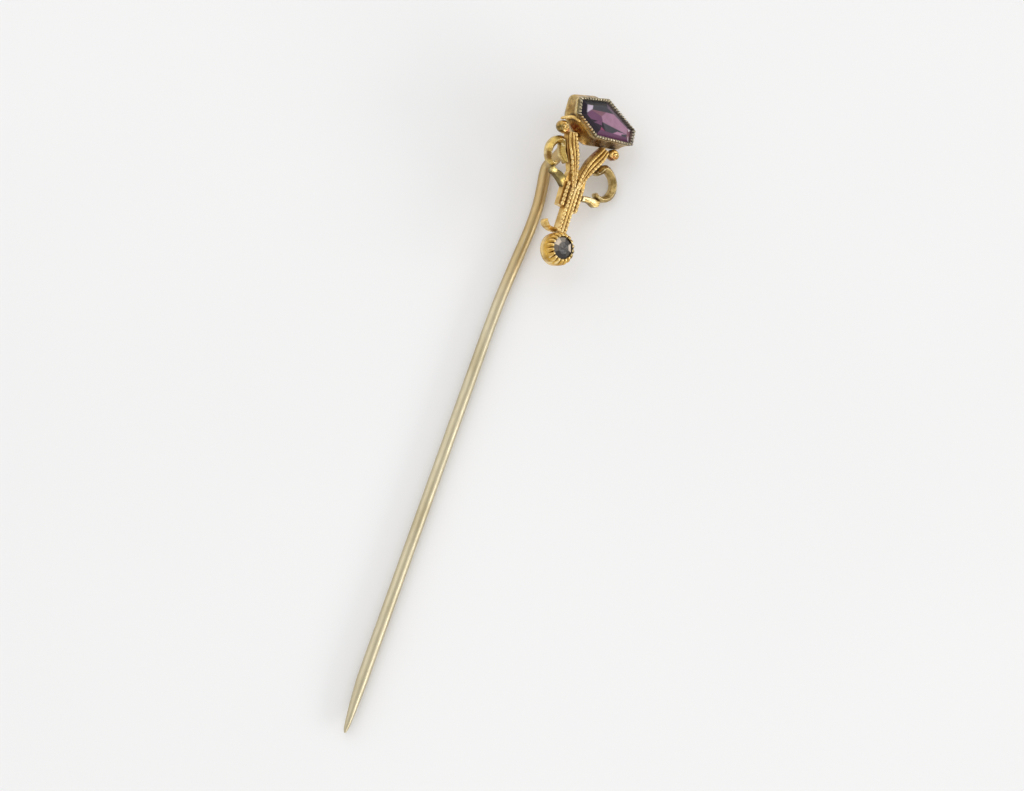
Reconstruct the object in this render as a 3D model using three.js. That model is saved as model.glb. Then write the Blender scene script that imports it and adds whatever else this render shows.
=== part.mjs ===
// Gilt hat pin: an ornamental head of milled bands and scrolls that carries a purple paste stone in a
// six-sided setting and a small round stone in a cup, on a long round shank bent away from its back.
//
// The head is drawn in its own frame, in millimetres: +X to the right, +Y along the pin towards the
// big stone, +Z towards the viewer of the stones. The origin is the middle of the big setting's front
// rim. The whole pin is then laid down on its shank, on the table plane z = 0, with the head at +Y.
import * as THREE from "three";
import { ConvexGeometry } from "three/addons/geometries/ConvexGeometry.js";

// Pieces that are soldered or set against each other keep this gap, so that no two solids overlap.
const SEAM = 0.02;

// The big setting: a flattened hexagon with points above and below, cut slightly uneven by hand. Its
// corners are listed anticlockwise from the lower right, at the front rim.
const RIM_CORNERS = [
  [3.59, -0.84], [3.4, 0.54], [-0.35, 1.93], [-3.28, 0.79], [-2.92, -0.67], [-0.38, -1.83],
];
// The same corners at the wall's back, where it is taller, most of all on the left.
const BACK_CORNERS = [
  [3.73, -1.1], [3.53, 0.7], [-0.35, 2.36], [-3.16, 1.28], [-3.04, -0.88], [-0.4, -2.39],
];
const RIM_HALF_WIDTH = 3.3;
const RIM_HALF_HEIGHT = 1.89;
const SETTING_DEPTH = 2.25;
const CORNER_RADIUS = 0.3;
const COLLAR_DEPTH = 0.44;
const COLLAR_WALL = 0.25;
const COLLAR_CHAMFER = 0.05;
const WALL_THICKNESS = 0.24;
const WALL_STEP = 0.04;
const PLATE_THICKNESS = 0.3;
const GRAIN_PITCH = 0.31;
const GRAIN_NOTCH = 0.12;

// The big stone: its table, the girdle round its widest part and the keel behind it.
const TABLE_FRONT = -0.06;
const TABLE_SHARE_X = 0.8;
const TABLE_SHARE_Y = 0.66;
const GIRDLE_FRONT = -0.4;
const GIRDLE_BACK = -0.58;
const KEEL_BACK = -1.75;
const KEEL_HALF_LENGTH = 1.6;
const STONE_GAP = 0.03;

// The ornament lies behind the stones: strips with wires soldered along their fronts.
const STRIP_BACK = -2.25;
const STRIP_FRONT = -1.64;
const RIDGE_RADIUS = 0.15;
const BEAD_RADIUS = 0.18;
const STEM_BEAD_RADIUS = 0.16;
const BEAD_PITCH = 0.38;
const BEAD_WAIST = 0.62;
const BEAD_GROOVE = 0.02;
const WIRE_SIDES = 6;

const BAND_WIDTH_TOP = 0.95;
const BAND_WIDTH = 1.2;
const BAND_WIDTH_END = 0.42;
const SCROLL_WIDTH = 0.68;
const CURL_WIDTH = 0.5;
const SCROLL_BACK = -2.22;
const SCROLL_FRONT = -1.42;
const STEM_WIDTH = 0.82;
const STEM_FRONT = -1.5;
const STEM_TOP = -6.62;
const STEM_END = -10.95;
const FLANK_END = -8.52;
const FLANK_EDGE = 1.08;
const FLANK_WIRE_X = 0.8;
const FLANK_WIRE_LENGTH = 2.3;
const LEAF_DEPTH = 0.62;
const VOLUTE_DEPTH = 0.72;
const RAISED_BACK = STRIP_BACK + 0.08;
const CORNER_WIRE_RADIUS = 0.15;

// The small round setting at the foot of the stem: a drum, and a toothed crown that closes over the
// stone and leans a little towards the stem.
const COLLET_Y = -12.47;
const COLLET_BACK = -1.87;
const COLLET_FLOOR = 0.22;
const COLLET_RADIUS = 1.5;
const COLLET_BORE = 1.14;
const COLLET_TEETH = 18;
const CROWN_BACK = -0.85;
const CROWN_FRONT = -0.27;
const CROWN_RADIUS = 1.1;
const CROWN_LEAN = 0.2;
const SMALL_STONE_RADIUS = 1.03;

// The shank: round wire bent back from the setting and then straight to its ground point.
const SHANK_RADIUS = 0.53;
const SHANK_SIDES = 12;
const TAPER_START = -54;
const TAPER_SHARE = 0.1;
const POINT_SHARE = 0.15;

// How the pin lies: rolled about its length onto the scroll, and turned so that its point and head
// touch the table together.
const ROLL = THREE.MathUtils.degToRad(37.67);
const PITCH = THREE.MathUtils.degToRad(0.543);
const YAW = THREE.MathUtils.degToRad(1.79);

const gilt = () => new THREE.MeshStandardMaterial({ color: 0xc9a23f, roughness: 0.32, metalness: 1 });
const darkGilt = () => new THREE.MeshStandardMaterial({ color: 0x8d7638, roughness: 0.45, metalness: 1 });
const paleBrass = () => new THREE.MeshStandardMaterial({ color: 0xb7aa84, roughness: 0.3, metalness: 1 });
const purplePaste = () => new THREE.MeshStandardMaterial({ color: 0x5b2a60, roughness: 0.05, metalness: 0 });
const clearPaste = () => new THREE.MeshStandardMaterial({ color: 0x8d9096, roughness: 0.05, metalness: 0 });

const head = new THREE.Group();

function addPiece(name, geometry, material) {
  const mesh = new THREE.Mesh(geometry, material);
  mesh.name = name;
  head.add(mesh);
  return mesh;
}

// Adds right_NAME as drawn and left_NAME as its mirror image.
function addPair(name, geometry, material) {
  addPiece(`right_${name}`, geometry, material());
  addPiece(`left_${name}`, geometry, material()).scale.x = -1;
}

function curveThrough(points) {
  return new THREE.CatmullRomCurve3(points.map(([x, y, z = 0]) => new THREE.Vector3(x, y, z)));
}

// Bends a piece that was drawn straight up +Y from y = 0 along a curve in the XY plane. Its x runs
// across the curve and is scaled by width(s), where s goes from 0 to 1 along the curve.
function bendAlong(geometry, curve, width = () => 1) {
  geometry.computeBoundingBox();
  const length = geometry.boundingBox.max.y;
  const position = geometry.attributes.position;
  for (let i = 0; i < position.count; i++) {
    const s = THREE.MathUtils.clamp(position.getY(i) / length, 0, 1);
    const point = curve.getPointAt(s);
    const along = curve.getTangentAt(s);
    const across = position.getX(i) * width(s);
    position.setXY(i, point.x + across * along.y, point.y - across * along.x);
  }
  return geometry;
}

// A flat strip from y = 0 up to length, with square edges.
function strip(length, width, back, front, steps) {
  const geometry = new THREE.BoxGeometry(width, length, front - back, 1, steps, 1);
  return geometry.translate(0, length / 2, (front + back) / 2);
}

// A strip with a rounded front, from y = 0 up to length.
function roundedStrip(length, width, back, front, steps) {
  const half = width / 2;
  const section = new THREE.Shape();
  section.moveTo(-half, back);
  section.lineTo(half, back);
  section.lineTo(half, front - half);
  section.absarc(0, front - half, half, 0, Math.PI, false);
  section.closePath();
  const geometry = new THREE.ExtrudeGeometry(section, {
    depth: length, steps, bevelEnabled: false, curveSegments: 3,
  });
  return geometry.rotateX(Math.PI / 2).translate(0, length, 0);
}

// A plain wire from y = 0 up to length.
function plainWire(length, radius, steps) {
  return new THREE.CylinderGeometry(radius, radius, length, WIRE_SIDES, steps).translate(0, length / 2, 0);
}

// A milled wire: a row of beads from y = 0 up to length.
function beadedWire(length, radius) {
  const count = Math.round(length / BEAD_PITCH);
  const pitch = length / count;
  const profile = [new THREE.Vector2(0, 0)];
  for (let bead = 0; bead < count; bead++) {
    const start = bead * pitch + (bead === 0 ? 0 : BEAD_GROOVE);
    profile.push(new THREE.Vector2(radius * BEAD_WAIST, start));
    profile.push(new THREE.Vector2(radius, (bead + 1 / 3) * pitch));
    profile.push(new THREE.Vector2(radius, (bead + 3 / 4) * pitch));
  }
  profile.push(new THREE.Vector2(radius * BEAD_WAIST, length));
  profile.push(new THREE.Vector2(0, length));
  return new THREE.LatheGeometry(profile, WIRE_SIDES);
}

// The corners of the setting's outline, grown outwards by about grow. flare runs from 0 at the front
// rim to 1 at the wall's back.
function settingCorners(grow, flare = 0) {
  const scale = new THREE.Vector2(1 + grow / RIM_HALF_WIDTH, 1 + grow / RIM_HALF_HEIGHT);
  return RIM_CORNERS.map((corner, i) => {
    const point = new THREE.Vector2(...corner);
    return point.lerp(new THREE.Vector2(...BACK_CORNERS[i]), flare).multiply(scale);
  });
}

// The same outline as points, with its corners rounded.
function roundedOutline(grow, flare) {
  const corners = settingCorners(grow, flare);
  const path = new THREE.Path();
  corners.forEach((corner, i) => {
    const next = corners[(i + 1) % corners.length];
    const before = corners.at(i - 1).clone().sub(corner).setLength(CORNER_RADIUS).add(corner);
    const after = next.clone().sub(corner).setLength(CORNER_RADIUS).add(corner);
    if (i === 0) {
      path.moveTo(before.x, before.y);
    } else {
      path.lineTo(before.x, before.y);
    }
    path.quadraticCurveTo(corner.x, corner.y, after.x, after.y);
  });
  return path.getPoints(3);
}

// The same outline as points, two for each grain of the milled edge.
function grainedOutline(grow, flare) {
  const nominal = settingCorners(0);
  const corners = settingCorners(grow, flare);
  return corners.flatMap((corner, i) => {
    const next = (i + 1) % corners.length;
    const points = 2 * Math.round(nominal[i].distanceTo(nominal[next]) / GRAIN_PITCH);
    return Array.from({ length: points }, (_, k) => corner.clone().lerp(corners[next], k / points));
  });
}

// A closed ring round an outline. The section lists [grow, flare, z] corners, first up the outside and
// then down the inside. LatheGeometry makes the faces, and its vertices are moved to the outline.
function ringRound(outline, section, heightAt = (z) => z) {
  const closed = [...section, section[0]];
  const outlines = closed.map(([grow, flare]) => outline(grow, flare));
  const count = outlines[0].length;
  const profile = closed.map(([grow, , z]) => new THREE.Vector2(RIM_HALF_WIDTH + grow, z));
  const geometry = new THREE.LatheGeometry(profile, count);
  const position = geometry.attributes.position;
  for (let i = 0; i < position.count; i++) {
    const corner = i % closed.length;
    const station = Math.floor(i / closed.length) % count;
    const point = outlines[corner][station];
    position.setXYZ(i, point.x, point.y, heightAt(closed[corner][2], station));
  }
  return geometry;
}

function buildLargeSetting() {
  const plate = new THREE.Shape(roundedOutline(0, 1));
  const plateGeometry = new THREE.ExtrudeGeometry(plate, {
    depth: PLATE_THICKNESS - SEAM, bevelEnabled: false,
  });
  addPiece("setting_back_plate", plateGeometry.translate(0, 0, -SETTING_DEPTH), darkGilt());

  // The wall widens from the step below the collar to the back plate.
  const wallBack = -SETTING_DEPTH + PLATE_THICKNESS;
  const wallFront = -COLLAR_DEPTH - SEAM;
  const wall = ringRound(roundedOutline, [
    [0, 1, wallBack],
    [WALL_STEP, 0, wallFront],
    [WALL_STEP - WALL_THICKNESS, 0, wallFront],
    [-WALL_THICKNESS, 1, wallBack],
  ]);
  addPiece("setting_wall", wall, gilt());

  // The collar grips the stone. Its front edge is cut back between every two grains.
  const notched = (z, station) => (z === 0 && station % 2 === 1 ? -GRAIN_NOTCH : z);
  const collar = ringRound(grainedOutline, [
    [0, 0, -COLLAR_DEPTH], [0, 0, -2 * COLLAR_CHAMFER], [-COLLAR_CHAMFER, 0, 0],
    [-COLLAR_WALL, 0, 0], [-COLLAR_WALL, 0, -COLLAR_DEPTH],
  ], notched);
  addPiece("setting_collar", collar, darkGilt());
}

// The paste stone: a long table, one row of facets down to the girdle, and a keel behind it.
function buildLargeStone() {
  const girdle = settingCorners(-COLLAR_WALL - STONE_GAP);
  const points = [
    ...girdle.map((p) => new THREE.Vector3(p.x * TABLE_SHARE_X, p.y * TABLE_SHARE_Y, TABLE_FRONT)),
    ...girdle.map((p) => new THREE.Vector3(p.x, p.y, GIRDLE_FRONT)),
    ...girdle.map((p) => new THREE.Vector3(p.x, p.y, GIRDLE_BACK)),
    new THREE.Vector3(KEEL_HALF_LENGTH, 0, KEEL_BACK),
    new THREE.Vector3(-KEEL_HALF_LENGTH, 0, KEEL_BACK),
  ];
  addPiece("large_stone", new ConvexGeometry(points), purplePaste());
}

// Centre lines on the right-hand side of the head. The left-hand side mirrors them.
const bandPath = curveThrough([
  [2.0, -1.97], [1.89, -2.28], [1.72, -2.7], [1.42, -3.26], [1.08, -3.92], [0.74, -4.75], [0.44, -5.7],
  [0.24, -6.58],
]);

// A band is a little narrow at its top, full for a third of its length and narrows again to the stem.
function bandWidth(s) {
  const swell = THREE.MathUtils.smoothstep(s, 0, 0.2);
  const narrowing = Math.max(0, (s - 0.4) / 0.6);
  return THREE.MathUtils.lerp(
    THREE.MathUtils.lerp(BAND_WIDTH_TOP, BAND_WIDTH, swell), BAND_WIDTH_END, narrowing,
  );
}

// A point beside the band's centre line, at s along it, at a distance out from its outer edge.
function besideBand(s, out) {
  const point = bandPath.getPointAt(s);
  const along = bandPath.getTangentAt(s);
  const across = -(bandWidth(s) / 2 + out);
  return [point.x + across * along.y, point.y - across * along.x];
}

function buildBands() {
  const length = bandPath.getLength();
  const steps = 16;
  const body = strip(length, 1, STRIP_BACK, STRIP_FRONT, steps);
  addPair("band", bendAlong(body, bandPath, bandWidth), gilt);

  // The wires are drawn for the band's full width and draw in with it.
  const drawIn = (s) => bandWidth(s) / BAND_WIDTH;
  const ridge = plainWire(length, RIDGE_RADIUS, steps).translate(0, 0, STRIP_FRONT + SEAM + RIDGE_RADIUS);
  addPair("band_ridge_wire", bendAlong(ridge, bandPath, drawIn), gilt);
  const beside = RIDGE_RADIUS + SEAM + BEAD_RADIUS;
  for (const [name, x] of [["outer", -beside], ["inner", beside]]) {
    const wire = beadedWire(length, BEAD_RADIUS).translate(x, 0, STRIP_FRONT + SEAM + BEAD_RADIUS);
    addPair(`band_${name}_bead_wire`, bendAlong(wire, bandPath, drawIn), gilt);
  }
}

function buildStem() {
  const length = STEM_TOP - STEM_END;
  const body = strip(length, STEM_WIDTH, STRIP_BACK, STEM_FRONT, 1);
  addPiece("stem", body.translate(0, STEM_END, 0), gilt());
  const ridge = plainWire(length, RIDGE_RADIUS, 1);
  addPiece("stem_ridge_wire", ridge.translate(0, STEM_END, STEM_FRONT + SEAM + RIDGE_RADIUS), gilt());
  const wire = beadedWire(length, STEM_BEAD_RADIUS);
  const x = RIDGE_RADIUS + SEAM + STEM_BEAD_RADIUS;
  addPair("stem_bead_wire", wire.translate(x, STEM_END, STEM_FRONT + SEAM + STEM_BEAD_RADIUS), gilt);
}

// Short milled strips that flank the top of the stem, from under the bands to their squared ends.
function buildFlanks() {
  const inner = STEM_WIDTH / 2 + SEAM;
  const outline = new THREE.Shape();
  outline.moveTo(inner, FLANK_END);
  outline.lineTo(FLANK_EDGE, FLANK_END);
  outline.lineTo(FLANK_EDGE + 0.06, -7.2);
  outline.lineTo(FLANK_EDGE + 0.08, -6.3);
  outline.lineTo(...besideBand(0.7, SEAM));
  outline.lineTo(...besideBand(0.85, SEAM));
  outline.lineTo(...besideBand(1, SEAM));
  outline.lineTo(inner, STEM_TOP);
  outline.closePath();
  const body = new THREE.ExtrudeGeometry(outline, { depth: STRIP_FRONT - STRIP_BACK, bevelEnabled: false });
  addPair("flank", body.translate(0, 0, STRIP_BACK), gilt);
  const wire = beadedWire(FLANK_WIRE_LENGTH, BEAD_RADIUS);
  wire.translate(FLANK_WIRE_X, FLANK_END, STRIP_FRONT + SEAM + BEAD_RADIUS);
  addPair("flank_bead_wire", wire, gilt);
}

// A scroll is slim where it springs from its band, and slims again over its last third.
function buildScroll(name, points) {
  const path = curveThrough(points);
  const body = roundedStrip(path.getLength(), SCROLL_WIDTH, SCROLL_BACK, SCROLL_FRONT, 32);
  const slimAtRoot = (s) => Math.min(1, 0.45 + s * 4);
  const slimAtEnd = (s) => 0.4 * Math.max(0, s * 3 - 2);
  return addPiece(name, bendAlong(body, path, (s) => slimAtRoot(s) - slimAtEnd(s)), darkGilt());
}

function buildScrolls() {
  buildScroll("right_scroll", [
    besideBand(0.4, 0.12), besideBand(0.4, 0.36), [2.7, -3.4], [3.25, -3.5], [3.8, -3.88],
    [4.16, -4.48], [4.2, -5.15], [3.9, -5.76], [3.36, -6.12], [2.78, -6.12], [2.5, -5.9],
  ]);
  // The left one is bent tighter, sits higher and springs from lower on its band.
  const left = buildScroll("left_scroll", [
    besideBand(0.56, 0.24), besideBand(0.44, 0.31), besideBand(0.33, 0.44), [2.62, -3.02], [3.04, -3.1],
    [3.38, -3.4], [3.62, -3.92], [3.62, -4.5], [3.42, -5.0], [3.08, -5.32], [2.78, -5.32], [2.6, -5.06],
  ]);
  left.scale.x = -1;
}

// Leaves tie the scrolls to the sides of the stem. Each outline starts and ends at the flank.
function buildLeaf(name, top, bottom) {
  const toVectors = (points) => points.map(([x, y]) => new THREE.Vector2(x, y));
  const outline = new THREE.Shape();
  outline.moveTo(...top[0]);
  outline.splineThru(toVectors(top.slice(1)));
  outline.lineTo(...bottom[0]);
  outline.splineThru(toVectors(bottom.slice(1)));
  outline.closePath();
  const geometry = new THREE.ExtrudeGeometry(outline, {
    depth: LEAF_DEPTH, bevelEnabled: false, curveSegments: 3,
  });
  return addPiece(name, geometry.translate(0, 0, RAISED_BACK), darkGilt());
}

function buildLeaves() {
  buildLeaf(
    "right_leaf",
    [[1.19, -6.72], [1.9, -6.54], [2.5, -6.46], [3.2, -6.46]],
    [[3.14, -6.98], [2.7, -7.2], [2.05, -7.08], [1.19, -7.28]],
  );
  const left = buildLeaf(
    "left_leaf",
    [[1.19, -5.95], [1.8, -5.72], [2.3, -5.7], [2.8, -5.57]],
    [[2.92, -6.2], [2.42, -6.26], [1.85, -6.5], [1.19, -6.92]],
  );
  left.scale.x = -1;
}

// The rolled ends beside the bands' tops, under the setting's lower corners. The left one is larger.
function buildVolute(name, x, y, radius) {
  const profile = [
    [0, 0], [0.8, 0], [1, 0.1], [1, VOLUTE_DEPTH - 0.14], [0.84, VOLUTE_DEPTH],
    [0.62, VOLUTE_DEPTH - 0.05], [0.4, VOLUTE_DEPTH + 0.1], [0, VOLUTE_DEPTH + 0.16],
  ].map(([share, height]) => new THREE.Vector2(radius * share, height));
  const geometry = new THREE.LatheGeometry(profile, 14).rotateX(Math.PI / 2);
  addPiece(name, geometry.translate(x, y, RAISED_BACK), gilt());
}

// A short wire rises from the left volute along the setting's corner to the collar.
function buildCornerWire() {
  const path = curveThrough([
    [-3.5, -1.26, -1.86], [-3.37, -1.16, -1.5], [-3.2, -1.06, -1.12], [-3.0, -1.0, -0.82],
    [-2.68, -1.04, -0.6], [-2.3, -1.17, -0.48],
  ]);
  const section = new THREE.Shape().absarc(0, 0, CORNER_WIRE_RADIUS, 0, Math.PI * 2, false);
  const geometry = new THREE.ExtrudeGeometry(section, {
    steps: 10, bevelEnabled: false, curveSegments: 4, extrudePath: path,
  });
  addPiece("corner_wire", geometry, gilt());
}

// A small curl springs from the left of the neck above the round setting.
function buildNeckCurl() {
  const path = curveThrough([
    [0.48, -10.77], [0.8, -10.82], [1.2, -10.82], [1.52, -10.68], [1.72, -10.46], [1.76, -10.26],
  ]);
  const body = roundedStrip(path.getLength(), CURL_WIDTH, SCROLL_BACK, SCROLL_FRONT, 18);
  addPiece("neck_curl", bendAlong(body, path), gilt()).scale.x = -1;
}

function buildSmallSetting() {
  const place = (geometry) => geometry.rotateX(Math.PI / 2).translate(0, COLLET_Y, 0);
  const lathe = (corners, segments) => new THREE.LatheGeometry(
    corners.map(([r, z]) => new THREE.Vector2(r, z)), segments,
  );
  const plate = new THREE.CylinderGeometry(COLLET_RADIUS * 0.96, COLLET_RADIUS * 0.9, COLLET_FLOOR, 36);
  plate.translate(0, COLLET_BACK + COLLET_FLOOR / 2, 0);
  addPiece("collet_back_plate", place(plate), gilt());

  // The cup is closed as a ring. Its crown is nicked into teeth that hold the stone.
  const cupBack = COLLET_BACK + COLLET_FLOOR + SEAM;
  const toothTip = CROWN_FRONT - GRAIN_NOTCH;
  const cup = lathe([
    [COLLET_BORE, cupBack], [COLLET_RADIUS * 0.96, cupBack], [COLLET_RADIUS, CROWN_BACK - 0.1],
    [COLLET_RADIUS * 0.97, CROWN_BACK], [COLLET_RADIUS * 0.94, CROWN_BACK + 0.25],
    [CROWN_RADIUS, CROWN_FRONT], [CROWN_RADIUS - 0.08, CROWN_FRONT],
    [COLLET_BORE - 0.04, CROWN_FRONT - 0.2], [COLLET_BORE, cupBack],
  ], COLLET_TEETH * 2);
  const position = cup.attributes.position;
  for (let i = 0; i < position.count; i++) {
    const tooth = Math.round(Math.atan2(position.getX(i), position.getZ(i)) / (Math.PI / COLLET_TEETH));
    if (tooth % 2 !== 0 && position.getY(i) > toothTip) {
      position.setY(i, toothTip);
    }
    const lean = CROWN_LEAN * Math.max(0, position.getY(i) - CROWN_BACK);
    position.setZ(i, position.getZ(i) - lean);
  }
  addPiece("collet_cup", place(cup), gilt());

  const stoneTilt = CROWN_LEAN * (CROWN_FRONT - CROWN_BACK) / 2;
  const stone = lathe([
    [0, CROWN_FRONT - 0.78], [SMALL_STONE_RADIUS, CROWN_FRONT - 0.24],
    [SMALL_STONE_RADIUS, CROWN_FRONT - 0.16], [SMALL_STONE_RADIUS * 0.54, CROWN_FRONT + 0.02],
    [0, CROWN_FRONT + 0.02],
  ], 8);
  addPiece("small_stone", place(stone.translate(0, 0, -stoneTilt)), clearPaste());
}

// The shank stands off the back plate, turns down past the scrolls and runs straight to its point.
function buildShank() {
  const start = -SETTING_DEPTH - SEAM;
  const centre = curveThrough([
    [-1.0, -1.3, start - 0.02], [-1.0, -1.33, -2.7], [-0.98, -1.72, -3.2], [-0.93, -2.5, -3.62],
    [-0.86, -3.2, -4.08], [-0.8, -3.7, -4.66], [-0.77, -4.08, -5.22], [-0.78, -4.5, -5.6],
    [-0.76, -5.2, -5.66], [-0.66, -6.4, -5.54], [-0.55, -8.2, -5.42], [-0.58, -10.4, -5.44],
    [-0.84, -13.9, -5.6], [-1.13, -18.2, -5.78], [-1.42, -27, -5.88], [-1.7, -37, -6.0],
    [-2.02, -48, -6.12], [-2.2, -54.5, -6.16], [-2.28, -58.9, -6.06],
  ]);
  const section = new THREE.Shape().absarc(0, 0, SHANK_RADIUS, 0, Math.PI * 2, false);
  const geometry = new THREE.ExtrudeGeometry(section, {
    steps: 64, bevelEnabled: false, curveSegments: SHANK_SIDES / 2, extrudePath: centre,
  });
  const tip = centre.getPoint(1);
  const position = geometry.attributes.position;
  const vertex = new THREE.Vector3();
  for (let i = 0; i < position.count; i++) {
    vertex.fromBufferAttribute(position, i);
    if (vertex.y < TAPER_START) {
      const t = Math.min(1, (TAPER_START - vertex.y) / (TAPER_START - tip.y));
      const axis = centre.getPoint(1 - (1 - t) * TAPER_SHARE);
      const slim = THREE.MathUtils.lerp(Math.sqrt(1 - t), 1, POINT_SHARE);
      position.setX(i, axis.x + (vertex.x - axis.x) * slim);
      position.setZ(i, axis.z + (vertex.z - axis.z) * slim);
    }
  }
  addPiece("pin_shank", geometry, paleBrass());
}

buildLargeSetting();
buildLargeStone();
buildBands();
buildStem();
buildFlanks();
buildScrolls();
buildLeaves();
buildVolute("right_volute", 3.02, -1.92, 0.5);
buildVolute("left_volute", -3.1, -1.86, 0.54);
buildCornerWire();
buildNeckCurl();
buildSmallSetting();
buildShank();

// Lays the pin down and sets the origin at the middle of its footprint, on the table.
const pin = new THREE.Group();
head.rotation.set(PITCH, ROLL, YAW, "ZXY");
pin.add(head);
pin.updateMatrixWorld(true);
const bounds = new THREE.Box3().setFromObject(pin, true);
const middle = bounds.getCenter(new THREE.Vector3());
head.position.set(-middle.x, -middle.y, -bounds.min.z);

export default pin;
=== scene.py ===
import math

import bmesh
import bpy
from mathutils import Matrix, Vector, noise


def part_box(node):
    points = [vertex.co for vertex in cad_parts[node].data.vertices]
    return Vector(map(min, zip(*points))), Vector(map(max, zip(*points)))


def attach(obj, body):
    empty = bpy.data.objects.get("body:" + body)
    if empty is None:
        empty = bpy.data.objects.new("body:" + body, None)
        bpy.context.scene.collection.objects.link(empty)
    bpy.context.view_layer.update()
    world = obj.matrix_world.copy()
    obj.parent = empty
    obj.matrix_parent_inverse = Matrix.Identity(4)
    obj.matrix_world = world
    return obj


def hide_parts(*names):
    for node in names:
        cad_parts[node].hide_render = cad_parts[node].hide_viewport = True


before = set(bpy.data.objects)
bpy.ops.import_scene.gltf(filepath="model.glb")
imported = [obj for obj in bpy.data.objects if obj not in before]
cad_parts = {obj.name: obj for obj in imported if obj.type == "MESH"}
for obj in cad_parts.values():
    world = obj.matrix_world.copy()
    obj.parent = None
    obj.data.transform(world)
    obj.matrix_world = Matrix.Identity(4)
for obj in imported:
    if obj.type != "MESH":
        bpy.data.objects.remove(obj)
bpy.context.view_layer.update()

MM = 0.001

# The head is drawn in its own frame, in millimetres: +X to the right, +Y along the pin towards the
# big stone, +Z towards the viewer of the stones, from the middle of the big setting's front rim. The
# whole pin is then laid down on its right scroll and its shank.
ROLL = math.radians(37.67)
PITCH = math.radians(0.543)
YAW = math.radians(1.79)
SEAM = 0.02

# The big setting's corners, anticlockwise from the lower right: at its front rim, and at the wall's
# back, where it is taller.
RIM_CORNERS = [
    (3.59, -0.84), (3.4, 0.54), (-0.35, 1.93), (-3.28, 0.79), (-2.92, -0.67), (-0.38, -1.83),
]
BACK_CORNERS = [
    (3.73, -1.1), (3.53, 0.7), (-0.35, 2.36), (-3.16, 1.28), (-3.04, -0.88), (-0.4, -2.39),
]
RIM_HALF_WIDTH = 3.3
RIM_HALF_HEIGHT = 1.89
SETTING_DEPTH = 2.25
CORNER_RADIUS = 0.3
COLLAR_DEPTH = 0.44
COLLAR_WALL = 0.25
WALL_THICKNESS = 0.24
WALL_STEP = 0.04
PLATE_THICKNESS = 0.3
GRAIN_PITCH = 0.31
GRAIN_NOTCH = 0.13

# The big stone: its table, the girdle round its widest part and the keel behind it.
TABLE_FRONT = -0.06
TABLE_SHARE_X = 0.8
TABLE_SHARE_Y = 0.66
GIRDLE_FRONT = -0.4
GIRDLE_BACK = -0.58
KEEL_BACK = -1.75
KEEL_SHARE = 0.3
STONE_GAP = 0.03

# The ornament behind the stones: strips with wires soldered along their fronts.
STRIP_BACK = -2.25
STRIP_FRONT = -1.64
RIDGE_RADIUS = 0.15
BEAD_RADIUS = 0.18
BEAD_PITCH = 0.38
BEAD_DEPTH = 0.45
BAND_WIDTH_TOP = 0.95
BAND_WIDTH = 1.2
BAND_WIDTH_END = 0.42
CURL_WIDTH = 0.5
SCROLL_BACK = -2.22
SCROLL_FRONT = -1.42
SCROLL_WIDTH = 0.68
STEM_WIDTH = 0.82
STEM_FRONT = -1.5
STEM_BEAD_RADIUS = 0.16
CORNER_WIRE_RADIUS = 0.15
STEM_TOP = -6.62
STEM_END = -10.95
FLANK_END = -8.52
FLANK_EDGE = 1.08
FLANK_WIRE_X = 0.8
FLANK_WIRE_LENGTH = 2.3
RAISED_BACK = STRIP_BACK + 0.08
LEAF_DEPTH = 0.62
VOLUTE_DEPTH = 0.72

# The small round setting at the foot of the stem, and its stone.
COLLET_Y = -12.47
COLLET_BACK = -1.87
COLLET_FLOOR = 0.22
COLLET_RADIUS = 1.5
COLLET_BORE = 1.14
COLLET_TEETH = 18
CROWN_BACK = -0.85
CROWN_FRONT = -0.27
CROWN_LEAN = 0.2
SMALL_STONE_RADIUS = 1.03
SMALL_STONE_LEAN = 0.06
SMALL_TABLE_SHARE = 0.54

# The shank: round wire with a bend behind the head and a ground point.
SHANK_RADIUS = 0.53
BEND_SHARE = 0.17
TAPER_START = -54.0
POINT_SHARE = 0.15

# The camera looks at CAMERA_AIM from CAMERA_DISTANCE, both in metres. The angles are in degrees and the
# lens in millimetres.
CAMERA_AIM = (0.00084, 0.0028176, 0.0)
CAMERA_AZIMUTH = 15.635
CAMERA_ELEVATION = 75.25
CAMERA_ROLL = 3.638
CAMERA_DISTANCE = 0.36117
CAMERA_LENS = 143.33


def head_matrix():
    """From head millimetres to row metres. The stem's middle fixes where the head is."""
    turn = (
        Matrix.Rotation(YAW, 4, "Z") @ Matrix.Rotation(PITCH, 4, "X") @ Matrix.Rotation(ROLL, 4, "Y")
    )
    low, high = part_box("stem")
    middle = Vector((0, (STEM_TOP + STEM_END) / 2, (STRIP_BACK + STEM_FRONT) / 2)) * MM
    origin = (low + high) / 2 - turn @ middle
    return Matrix.Translation(origin) @ turn @ Matrix.Scale(MM, 4)


HEAD = head_matrix()


# ---------------------------------------------------------------- curves and skins


def smooth_points(points, per_span=24):
    """Points close together along a centripetal Catmull-Rom curve."""
    p = [Vector((q[0], q[1], q[2] if len(q) > 2 else 0)) for q in points]
    p = [2 * p[0] - p[1], *p, 2 * p[-1] - p[-2]]
    dense = []
    for a, b, c, d in zip(p, p[1:], p[2:], p[3:]):
        ab, bc, cd = (math.sqrt((v - u).length) for u, v in ((a, b), (b, c), (c, d)))
        leave = ((b - a) / ab - (c - a) / (ab + bc) + (c - b) / bc) * bc
        arrive = ((c - b) / bc - (d - b) / (bc + cd) + (d - c) / cd) * bc
        for k in range(per_span):
            t = k / per_span
            square = (3 * (c - b) - 2 * leave - arrive) * t * t
            cube = (2 * (b - c) + leave + arrive) * t**3
            dense.append(b + leave * t + square + cube)
    dense.append(p[-2])
    return dense


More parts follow.
